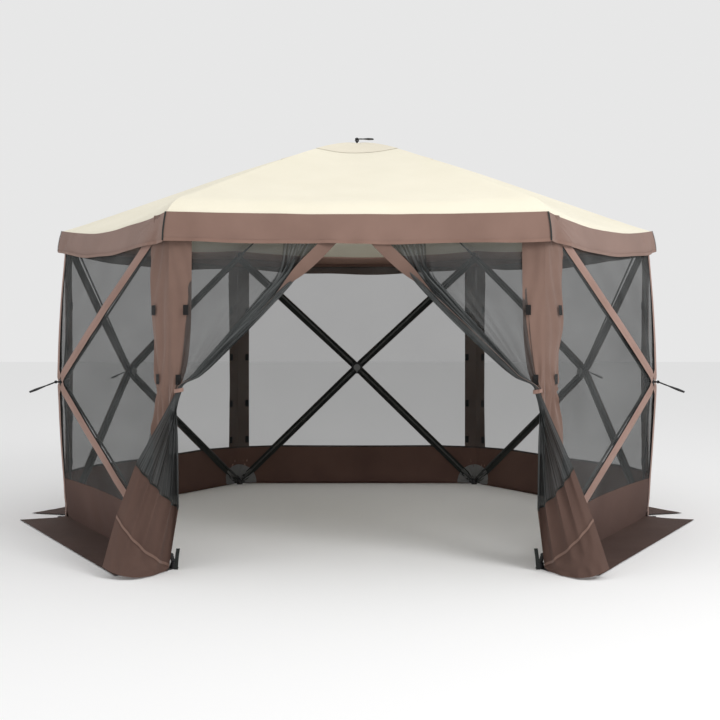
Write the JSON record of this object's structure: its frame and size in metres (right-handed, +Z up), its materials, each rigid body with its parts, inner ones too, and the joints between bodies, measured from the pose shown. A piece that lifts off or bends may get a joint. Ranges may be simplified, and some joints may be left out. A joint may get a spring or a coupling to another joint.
{
  "type": "screen house",
  "caption": "Hexagonal pop-up camping shelter with a peaked canopy, insect mesh walls on folding hub frames, a tied-back split door, ground flaps and pull handles.",
  "frame": {"origin": "on the ground, directly below the roof hub at the centre of the hexagon", "axes": "+Z up; -Y out through the door; +X to the right of someone facing the door from outside"},
  "size_m": [4.0372, 3.661, 2.315],
  "materials": {
    "black_plastic": "satin moulded nylon",
    "glass_fibre": "smooth dark glass fibre rod",
    "canopy_cloth": "woven coated polyester, cream",
    "trim_cloth": "woven coated polyester, taupe brown",
    "mesh_cloth": "fine no-see-um mesh, dark grey",
    "flap_cloth": "woven coated polyester, dark brown"
  },
  "bodies": {
    "crown": {"roof_hub": "black_plastic", "roof_canopy": "canopy_cloth", "valance": "trim_cloth", "wall_panel_1": "mesh_cloth", "wall_panel_2": "mesh_cloth", "wall_panel_3": "mesh_cloth", "wall_panel_4": "mesh_cloth", "wall_panel_5": "mesh_cloth", "door_left": "mesh_cloth", "door_right": "mesh_cloth", "ground_flaps": "flap_cloth"},
    "roof_handle": {"roof_handle": "black_plastic"},
    "roof_pole_1": {"roof_pole_1": "glass_fibre"},
    "roof_pole_2": {"roof_pole_2": "glass_fibre"},
    "roof_pole_3": {"roof_pole_3": "glass_fibre"},
    "roof_pole_4": {"roof_pole_4": "glass_fibre"},
    "roof_pole_5": {"roof_pole_5": "glass_fibre"},
    "roof_pole_6": {"roof_pole_6": "glass_fibre"},
    "top_corner_1": {"top_corner_1": "black_plastic"},
    "top_corner_2": {"top_corner_2": "black_plastic"},
    "top_corner_3": {"top_corner_3": "black_plastic"},
    "top_corner_4": {"top_corner_4": "black_plastic"},
    "top_corner_5": {"top_corner_5": "black_plastic"},
    "top_corner_6": {"top_corner_6": "black_plastic"},
    "upper_pole_1a": {"upper_pole_1a": "glass_fibre"},
    "wall_hub_1": {"wall_hub_1": "black_plastic"},
    "upper_pole_1b": {"upper_pole_1b": "glass_fibre"},
    "lower_pole_1a": {"lower_pole_1a": "glass_fibre"},
    "lower_pole_1b": {"lower_pole_1b": "glass_fibre"},
    "foot_1": {"foot_1": "black_plastic"},
    "wall_handle_1": {"wall_handle_1": "black_plastic"},
    "upper_pole_2a": {"upper_pole_2a": "glass_fibre"},
    "wall_hub_2": {"wall_hub_2": "black_plastic"},
    "upper_pole_2b": {"upper_pole_2b": "glass_fibre"},
    "lower_pole_2a": {"lower_pole_2a": "glass_fibre"},
    "lower_pole_2b": {"lower_pole_2b": "glass_fibre"},
    "foot_2": {"foot_2": "black_plastic"},
    "wall_handle_2": {"wall_handle_2": "black_plastic"},
    "upper_pole_3a": {"upper_pole_3a": "glass_fibre"},
    "wall_hub_3": {"wall_hub_3": "black_plastic"},
    "upper_pole_3b": {"upper_pole_3b": "glass_fibre"},
    "lower_pole_3a": {"lower_pole_3a": "glass_fibre"},
    "lower_pole_3b": {"lower_pole_3b": "glass_fibre"},
    "foot_3": {"foot_3": "black_plastic"},
    "wall_handle_3": {"wall_handle_3": "black_plastic"},
    "upper_pole_4a": {"upper_pole_4a": "glass_fibre"},
    "wall_hub_4": {"wall_hub_4": "black_plastic"},
    "upper_pole_4b": {"upper_pole_4b": "glass_fibre"},
    "lower_pole_4a": {"lower_pole_4a": "glass_fibre"},
    "lower_pole_4b": {"lower_pole_4b": "glass_fibre"},
    "foot_4": {"foot_4": "black_plastic"},
    "wall_handle_4": {"wall_handle_4": "black_plastic"},
    "upper_pole_5a": {"upper_pole_5a": "glass_fibre"},
    "wall_hub_5": {"wall_hub_5": "black_plastic"},
    "upper_pole_5b": {"upper_pole_5b": "glass_fibre"},
    "lower_pole_5a": {"lower_pole_5a": "glass_fibre"},
    "lower_pole_5b": {"lower_pole_5b": "glass_fibre"},
    "foot_5": {"foot_5": "black_plastic"},
    "wall_handle_5": {"wall_handle_5": "black_plastic"},
    "foot_6": {"foot_6": "black_plastic"}
  },
  "joints": [
    {"name": "roof_pole_1_fold", "type": "hinge", "parent": "crown", "child": "roof_pole_1", "pos_m": [0.02, -0.03464, 2.245], "axis": [0.866, 0.5, 0], "range_deg": [0, 69.4], "deforming": ["roof_canopy", "valance", "wall_panel_1", "wall_panel_2", "wall_panel_3", "wall_panel_4", "wall_panel_5", "door_left", "door_right", "ground_flaps"]},
    {"name": "roof_pole_2_fold", "type": "hinge", "parent": "crown", "child": "roof_pole_2", "pos_m": [0.04, 0, 2.245], "axis": [0, 1, 0], "range_deg": [-0.01, 69.41]},
    {"name": "roof_pole_3_fold", "type": "hinge", "parent": "crown", "child": "roof_pole_3", "pos_m": [0.02, 0.03464, 2.245], "axis": [-0.866, 0.5, 0], "range_deg": [-0.01, 69.41]},
    {"name": "roof_pole_4_fold", "type": "hinge", "parent": "crown", "child": "roof_pole_4", "pos_m": [-0.02, 0.03464, 2.245], "axis": [-0.866, -0.5, 0], "range_deg": [-0.01, 69.41]},
    {"name": "roof_pole_5_fold", "type": "hinge", "parent": "crown", "child": "roof_pole_5", "pos_m": [-0.04, 0, 2.245], "axis": [0, -1, 0], "range_deg": [-0.01, 69.41]},
    {"name": "roof_pole_6_fold", "type": "hinge", "parent": "crown", "child": "roof_pole_6", "pos_m": [-0.02, -0.03464, 2.245], "axis": [0.866, -0.5, 0], "range_deg": [-0.01, 69.41]},
    {"name": "top_corner_1_turn", "type": "hinge", "parent": "roof_pole_1", "child": "top_corner_1", "pos_m": [0.8515, -1.47484, 1.714], "axis": [0.866, 0.5, 0], "range_deg": [-69.41, 0.01]},
    {"name": "top_corner_2_turn", "type": "hinge", "parent": "roof_pole_2", "child": "top_corner_2", "pos_m": [1.703, 0, 1.714], "axis": [0, 1, 0], "range_deg": [-69.41, 0.01]},
    {"name": "top_corner_3_turn", "type": "hinge", "parent": "roof_pole_3", "child": "top_corner_3", "pos_m": [0.8515, 1.47484, 1.714], "axis": [-0.866, 0.5, 0], "range_deg": [-69.41, 0.01]},
    {"name": "top_corner_4_turn", "type": "hinge", "parent": "roof_pole_4", "child": "top_corner_4", "pos_m": [-0.8515, 1.47484, 1.714], "axis": [-0.866, -0.5, 0], "range_deg": [-69.41, 0.01]},
    {"name": "top_corner_5_turn", "type": "hinge", "parent": "roof_pole_5", "child": "top_corner_5", "pos_m": [-1.703, 0, 1.714], "axis": [0, -1, 0], "range_deg": [-69.41, 0.01]},
    {"name": "top_corner_6_turn", "type": "hinge", "parent": "roof_pole_6", "child": "top_corner_6", "pos_m": [-0.8515, -1.47484, 1.714], "axis": [0.866, -0.5, 0], "range_deg": [-69.41, 0.01]},
    {"name": "upper_pole_1a_fold", "type": "hinge", "parent": "top_corner_1", "child": "upper_pole_1a", "pos_m": [0.88873, -1.48311, 1.66883], "axis": [-0.3464, -0.5999, -0.7212], "range_deg": [-0.01, 74.74]},
    {"name": "wall_hub_1_turn", "type": "hinge", "parent": "upper_pole_1a", "child": "wall_hub_1", "pos_m": [1.53158, -0.91923, 0.89109], "axis": [-0.3464, -0.5999, -0.7212], "range_deg": [-74.74, 0.01]},
    {"name": "upper_pole_1b_fold", "type": "hinge", "parent": "top_corner_2", "child": "upper_pole_1b", "pos_m": [1.72877, -0.02811, 1.66883], "axis": [-0.3464, -0.5999, 0.7212], "range_deg": [-0.01, 74.74]},
    {"name": "lower_pole_1a_fold", "type": "hinge", "parent": "wall_hub_1", "child": "lower_pole_1a", "pos_m": [1.53158, -0.91923, 0.83291], "axis": [0.3464, 0.5999, -0.7212], "range_deg": [-0.01, 74.74]},
    {"name": "lower_pole_1b_fold", "type": "hinge", "parent": "wall_hub_1", "child": "lower_pole_1b", "pos_m": [1.56187, -0.86677, 0.83291], "axis": [0.3464, 0.5999, 0.7212], "range_deg": [-0.01, 74.74]},
    {"name": "foot_1_turn", "type": "hinge", "parent": "lower_pole_1a", "child": "foot_1", "pos_m": [0.88873, -1.48311, 0.05517], "axis": [0.3464, 0.5999, -0.7212], "range_deg": [-74.74, 0.01]},
    {"name": "wall_handle_1_swing", "type": "hinge", "parent": "wall_hub_1", "child": "wall_handle_1", "pos_m": [1.59132, -0.91875, 0.862], "axis": [0.5, 0.866, 0], "range_deg": [-80, 65]},
    {"name": "upper_pole_2a_fold", "type": "hinge", "parent": "top_corner_2", "child": "upper_pole_2a", "pos_m": [1.72877, 0.02811, 1.66883], "axis": [0.3464, -0.5999, -0.7212], "range_deg": [-0.01, 74.74]},
    {"name": "wall_hub_2_turn", "type": "hinge", "parent": "upper_pole_2a", "child": "wall_hub_2", "pos_m": [1.56187, 0.86677, 0.89109], "axis": [0.3464, -0.5999, -0.7212], "range_deg": [-74.74, 0.01]},
    {"name": "upper_pole_2b_fold", "type": "hinge", "parent": "top_corner_3", "child": "upper_pole_2b", "pos_m": [0.88873, 1.48311, 1.66883], "axis": [0.3464, -0.5999, 0.7212], "range_deg": [-0.01, 74.74]},
    {"name": "lower_pole_2a_fold", "type": "hinge", "parent": "wall_hub_2", "child": "lower_pole_2a", "pos_m": [1.56187, 0.86677, 0.83291], "axis": [-0.3464, 0.5999, -0.7212], "range_deg": [-0.01, 74.74]},
    {"name": "lower_pole_2b_fold", "type": "hinge", "parent": "wall_hub_2", "child": "lower_pole_2b", "pos_m": [1.53158, 0.91923, 0.83291], "axis": [-0.3464, 0.5999, 0.7212], "range_deg": [-0.01, 74.74]},
    {"name": "foot_2_turn", "type": "hinge", "parent": "lower_pole_2a", "child": "foot_2", "pos_m": [1.72877, 0.02811, 0.05517], "axis": [-0.3464, 0.5999, -0.7212], "range_deg": [-74.74, 0.01]},
    {"name": "wall_handle_2_swing", "type": "hinge", "parent": "wall_hub_2", "child": "wall_handle_2", "pos_m": [1.59132, 0.91875, 0.862], "axis": [-0.5, 0.866, 0], "range_deg": [-80, 65]},
    {"name": "upper_pole_3a_fold", "type": "hinge", "parent": "top_corner_3", "child": "upper_pole_3a", "pos_m": [0.84005, 1.51121, 1.66883], "axis": [0.6927, 0, -0.7212], "range_deg": [-0.01, 74.74]},
    {"name": "wall_hub_3_turn", "type": "hinge", "parent": "upper_pole_3a", "child": "wall_hub_3", "pos_m": [0.03029, 1.786, 0.89109], "axis": [0.6927, 0, -0.7212], "range_deg": [-74.74, 0.01]},
    {"name": "upper_pole_3b_fold", "type": "hinge", "parent": "top_corner_4", "child": "upper_pole_3b", "pos_m": [-0.84005, 1.51121, 1.66883], "axis": [0.6927, 0, 0.7212], "range_deg": [-0.01, 74.74]},
    {"name": "lower_pole_3a_fold", "type": "hinge", "parent": "wall_hub_3", "child": "lower_pole_3a", "pos_m": [0.03029, 1.786, 0.83291], "axis": [-0.6927, 0, -0.7212], "range_deg": [-0.01, 74.74]},
    {"name": "lower_pole_3b_fold", "type": "hinge", "parent": "wall_hub_3", "child": "lower_pole_3b", "pos_m": [-0.03029, 1.786, 0.83291], "axis": [-0.6927, 0, 0.7212], "range_deg": [-0.01, 74.74]},
    {"name": "foot_3_turn", "type": "hinge", "parent": "lower_pole_3a", "child": "foot_3", "pos_m": [0.84005, 1.51121, 0.05517], "axis": [-0.6927, 0, -0.7212], "range_deg": [-74.74, 0.01]},
    {"name": "wall_handle_3_swing", "type": "hinge", "parent": "wall_hub_3", "child": "wall_handle_3", "pos_m": [0, 1.8375, 0.862], "axis": [-1, 0, 0], "range_deg": [-80, 65]},
    {"name": "upper_pole_4a_fold", "type": "hinge", "parent": "top_corner_4", "child": "upper_pole_4a", "pos_m": [-0.88873, 1.48311, 1.66883], "axis": [0.3464, 0.5999, -0.7212], "range_deg": [-0.01, 74.74]},
    {"name": "wall_hub_4_turn", "type": "hinge", "parent": "upper_pole_4a", "child": "wall_hub_4", "pos_m": [-1.53158, 0.91923, 0.89109], "axis": [0.3464, 0.5999, -0.7212], "range_deg": [-74.74, 0.01]},
    {"name": "upper_pole_4b_fold", "type": "hinge", "parent": "top_corner_5", "child": "upper_pole_4b", "pos_m": [-1.72877, 0.02811, 1.66883], "axis": [0.3464, 0.5999, 0.7212], "range_deg": [-0.01, 74.74]},
    {"name": "lower_pole_4a_fold", "type": "hinge", "parent": "wall_hub_4", "child": "lower_pole_4a", "pos_m": [-1.53158, 0.91923, 0.83291], "axis": [-0.3464, -0.5999, -0.7212], "range_deg": [-0.01, 74.74]},
    {"name": "lower_pole_4b_fold", "type": "hinge", "parent": "wall_hub_4", "child": "lower_pole_4b", "pos_m": [-1.56187, 0.86677, 0.83291], "axis": [-0.3464, -0.5999, 0.7212], "range_deg": [-0.01, 74.74]},
    {"name": "foot_4_turn", "type": "hinge", "parent": "lower_pole_4a", "child": "foot_4", "pos_m": [-0.88873, 1.48311, 0.05517], "axis": [-0.3464, -0.5999, -0.7212], "range_deg": [-74.74, 0.01]},
    {"name": "wall_handle_4_swing", "type": "hinge", "parent": "wall_hub_4", "child": "wall_handle_4", "pos_m": [-1.59132, 0.91875, 0.862], "axis": [-0.5, -0.866, 0], "range_deg": [-80, 65]},
    {"name": "upper_pole_5a_fold", "type": "hinge", "parent": "top_corner_5", "child": "upper_pole_5a", "pos_m": [-1.72877, -0.02811, 1.66883], "axis": [-0.3464, 0.5999, -0.7212], "range_deg": [-0.01, 74.74]},
    {"name": "wall_hub_5_turn", "type": "hinge", "parent": "upper_pole_5a", "child": "wall_hub_5", "pos_m": [-1.56187, -0.86677, 0.89109], "axis": [-0.3464, 0.5999, -0.7212], "range_deg": [-74.74, 0.01]},
    {"name": "upper_pole_5b_fold", "type": "hinge", "parent": "top_corner_6", "child": "upper_pole_5b", "pos_m": [-0.88873, -1.48311, 1.66883], "axis": [-0.3464, 0.5999, 0.7212], "range_deg": [-0.01, 74.74]},
    {"name": "lower_pole_5a_fold", "type": "hinge", "parent": "wall_hub_5", "child": "lower_pole_5a", "pos_m": [-1.56187, -0.86677, 0.83291], "axis": [0.3464, -0.5999, -0.7212], "range_deg": [-0.01, 74.74]},
    {"name": "lower_pole_5b_fold", "type": "hinge", "parent": "wall_hub_5", "child": "lower_pole_5b", "pos_m": [-1.53158, -0.91923, 0.83291], "axis": [0.3464, -0.5999, 0.7212], "range_deg": [-0.01, 74.74]},
    {"name": "foot_5_turn", "type": "hinge", "parent": "lower_pole_5a", "child": "foot_5", "pos_m": [-1.72877, -0.02811, 0.05517], "axis": [0.3464, -0.5999, -0.7212], "range_deg": [-74.74, 0.01]},
    {"name": "wall_handle_5_swing", "type": "hinge", "parent": "wall_hub_5", "child": "wall_handle_5", "pos_m": [-1.59132, -0.91875, 0.862], "axis": [0.5, -0.866, 0], "range_deg": [-80, 65]},
    {"name": "foot_6_turn", "type": "hinge", "parent": "lower_pole_5b", "child": "foot_6", "pos_m": [-0.88873, -1.48311, 0.05517], "axis": [0.3464, -0.5999, 0.7212], "range_deg": [-74.74, 0.01]},
    {"name": "roof_handle_swing", "type": "hinge", "parent": "crown", "child": "roof_handle", "pos_m": [0, 0, 2.307], "axis": [0.766, 0.6428, 0], "range_deg": [-164, 4]}
  ],
  "couplings": [
    {"joint": "roof_pole_2_fold", "follows": "roof_pole_1_fold", "ratio": 1},
    {"joint": "roof_pole_3_fold", "follows": "roof_pole_1_fold", "ratio": 1},
    {"joint": "roof_pole_4_fold", "follows": "roof_pole_1_fold", "ratio": 1},
    {"joint": "roof_pole_5_fold", "follows": "roof_pole_1_fold", "ratio": 1},
    {"joint": "roof_pole_6_fold", "follows": "roof_pole_1_fold", "ratio": 1},
    {"joint": "top_corner_1_turn", "follows": "roof_pole_1_fold", "ratio": -1},
    {"joint": "top_corner_2_turn", "follows": "roof_pole_1_fold", "ratio": -1},
    {"joint": "top_corner_3_turn", "follows": "roof_pole_1_fold", "ratio": -1},
    {"joint": "top_corner_4_turn", "follows": "roof_pole_1_fold", "ratio": -1},
    {"joint": "top_corner_5_turn", "follows": "roof_pole_1_fold", "ratio": -1},
    {"joint": "top_corner_6_turn", "follows": "roof_pole_1_fold", "ratio": -1},
    {"joint": "upper_pole_1a_fold", "follows": "roof_pole_1_fold", "ratio": 1.0766},
    {"joint": "wall_hub_1_turn", "follows": "roof_pole_1_fold", "ratio": -1.0766},
    {"joint": "upper_pole_1b_fold", "follows": "roof_pole_1_fold", "ratio": 1.0766},
    {"joint": "lower_pole_1a_fold", "follows": "roof_pole_1_fold", "ratio": 1.0766},
    {"joint": "lower_pole_1b_fold", "follows": "roof_pole_1_fold", "ratio": 1.0766},
    {"joint": "foot_1_turn", "follows": "roof_pole_1_fold", "ratio": -1.0766},
    {"joint": "upper_pole_2a_fold", "follows": "roof_pole_1_fold", "ratio": 1.0766},
    {"joint": "wall_hub_2_turn", "follows": "roof_pole_1_fold", "ratio": -1.0766},
    {"joint": "upper_pole_2b_fold", "follows": "roof_pole_1_fold", "ratio": 1.0766},
    {"joint": "lower_pole_2a_fold", "follows": "roof_pole_1_fold", "ratio": 1.0766},
    {"joint": "lower_pole_2b_fold", "follows": "roof_pole_1_fold", "ratio": 1.0766},
    {"joint": "foot_2_turn", "follows": "roof_pole_1_fold", "ratio": -1.0766},
    {"joint": "upper_pole_3a_fold", "follows": "roof_pole_1_fold", "ratio": 1.0766},
    {"joint": "wall_hub_3_turn", "follows": "roof_pole_1_fold", "ratio": -1.0766},
    {"joint": "upper_pole_3b_fold", "follows": "roof_pole_1_fold", "ratio": 1.0766},
    {"joint": "lower_pole_3a_fold", "follows": "roof_pole_1_fold", "ratio": 1.0766},
    {"joint": "lower_pole_3b_fold", "follows": "roof_pole_1_fold", "ratio": 1.0766},
    {"joint": "foot_3_turn", "follows": "roof_pole_1_fold", "ratio": -1.0766},
    {"joint": "upper_pole_4a_fold", "follows": "roof_pole_1_fold", "ratio": 1.0766},
    {"joint": "wall_hub_4_turn", "follows": "roof_pole_1_fold", "ratio": -1.0766},
    {"joint": "upper_pole_4b_fold", "follows": "roof_pole_1_fold", "ratio": 1.0766},
    {"joint": "lower_pole_4a_fold", "follows": "roof_pole_1_fold", "ratio": 1.0766},
    {"joint": "lower_pole_4b_fold", "follows": "roof_pole_1_fold", "ratio": 1.0766},
    {"joint": "foot_4_turn", "follows": "roof_pole_1_fold", "ratio": -1.0766},
    {"joint": "upper_pole_5a_fold", "follows": "roof_pole_1_fold", "ratio": 1.0766},
    {"joint": "wall_hub_5_turn", "follows": "roof_pole_1_fold", "ratio": -1.0766},
    {"joint": "upper_pole_5b_fold", "follows": "roof_pole_1_fold", "ratio": 1.0766},
    {"joint": "lower_pole_5a_fold", "follows": "roof_pole_1_fold", "ratio": 1.0766},
    {"joint": "lower_pole_5b_fold", "follows": "roof_pole_1_fold", "ratio": 1.0766},
    {"joint": "foot_5_turn", "follows": "roof_pole_1_fold", "ratio": -1.0766},
    {"joint": "foot_6_turn", "follows": "roof_pole_1_fold", "ratio": -1.0766}
  ]
}
